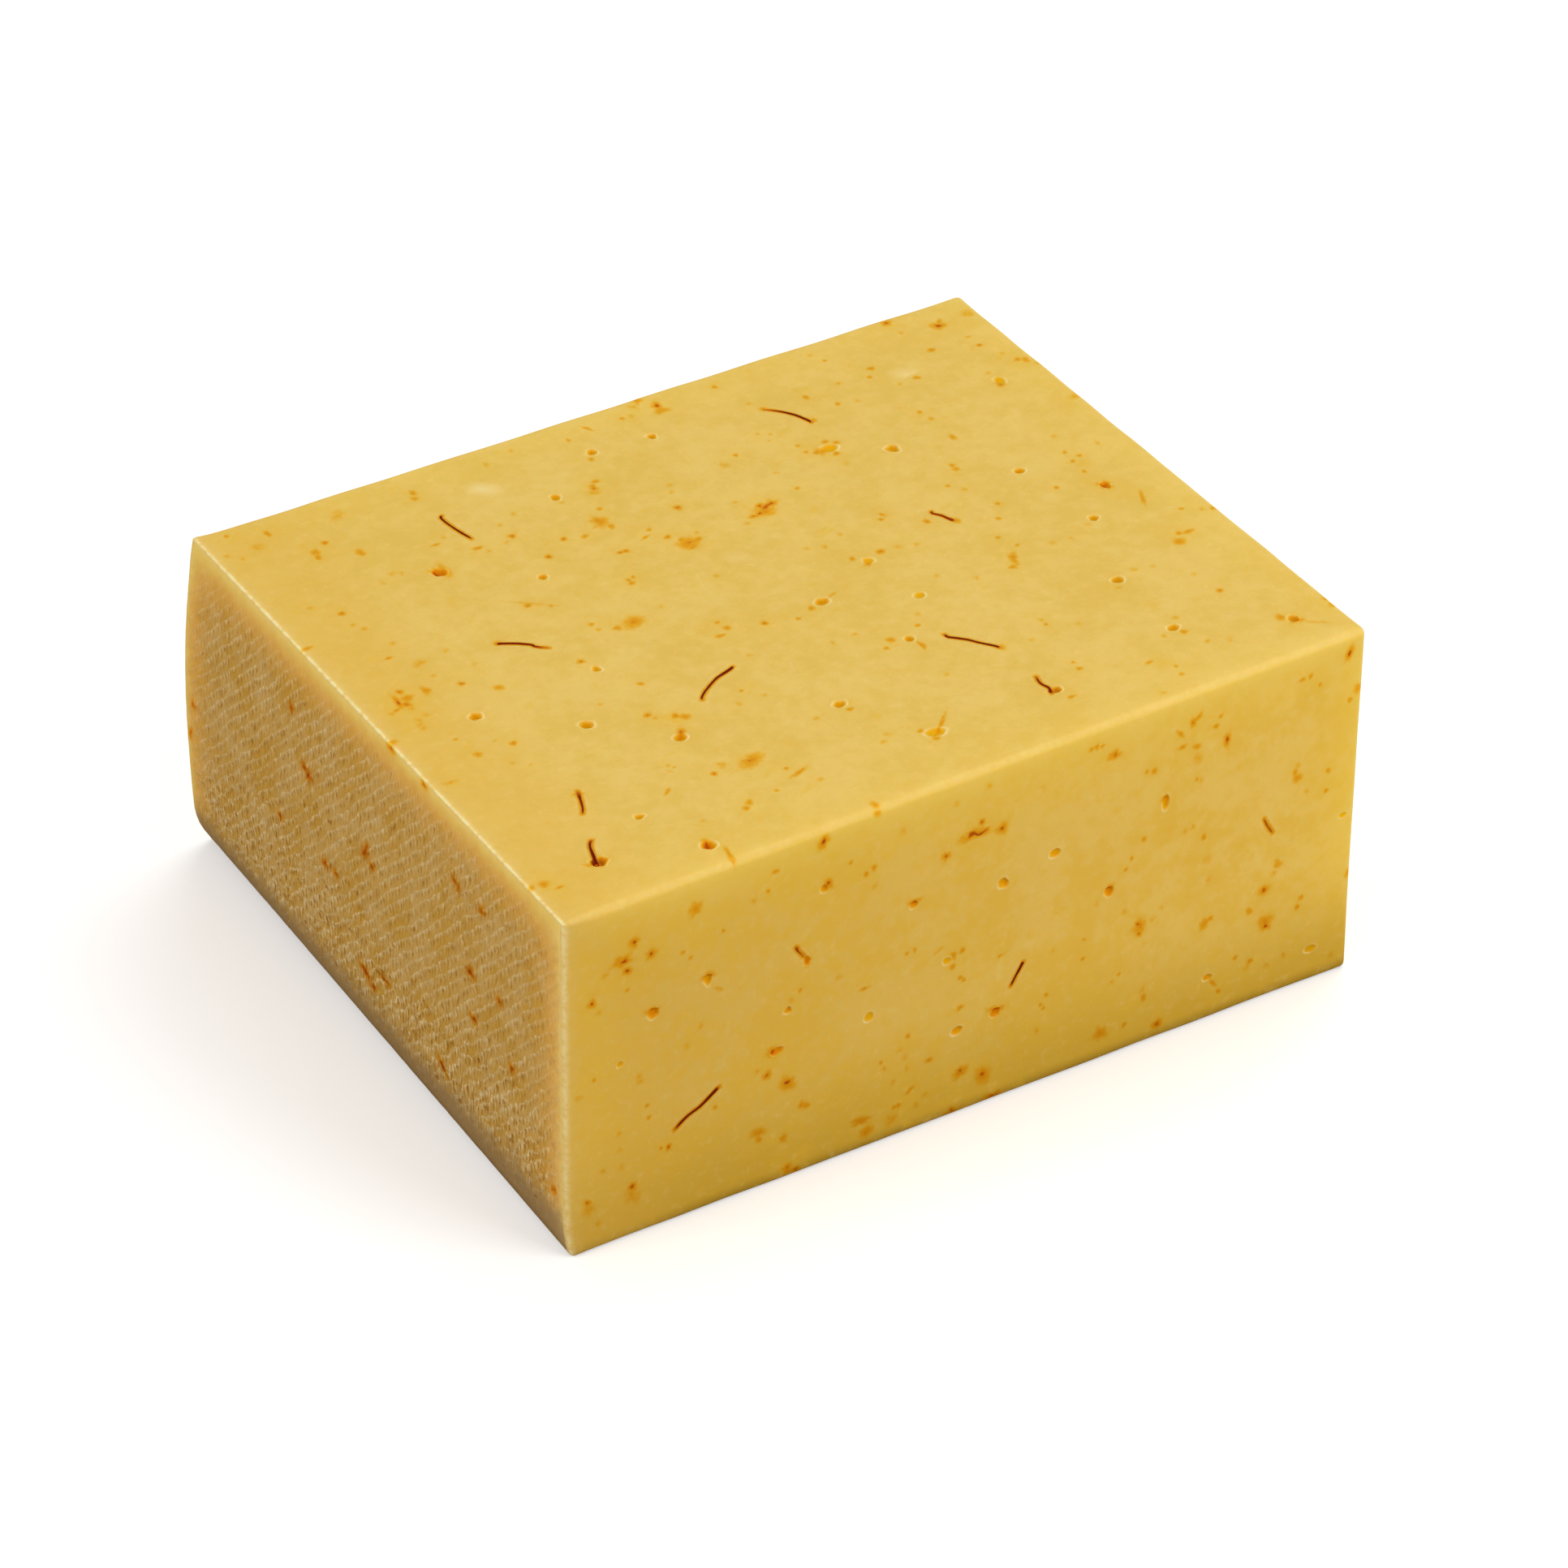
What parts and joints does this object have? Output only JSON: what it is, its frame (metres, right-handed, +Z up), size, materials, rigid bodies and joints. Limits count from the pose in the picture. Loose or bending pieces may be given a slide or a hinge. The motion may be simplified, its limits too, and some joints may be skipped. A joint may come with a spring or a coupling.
{
  "type": "raclette cheese block",
  "caption": "Cut block of raclette cheese with bulging rind on one end, round eyes and saffron threads in its cut faces, to slice and melt.",
  "frame": {"origin": "middle of the block's footprint, on the surface that it stands on", "axes": "+X from the rind end to the far cut end, +Y from the front cut face to the back, +Z up"},
  "size_m": [0.1578, 0.1336, 0.0664],
  "materials": {
    "paste": "smooth moist yellow cheese paste with a soft sheen"
  },
  "bodies": {
    "root": {"cheese_block": "paste"}
  },
  "joints": []
}
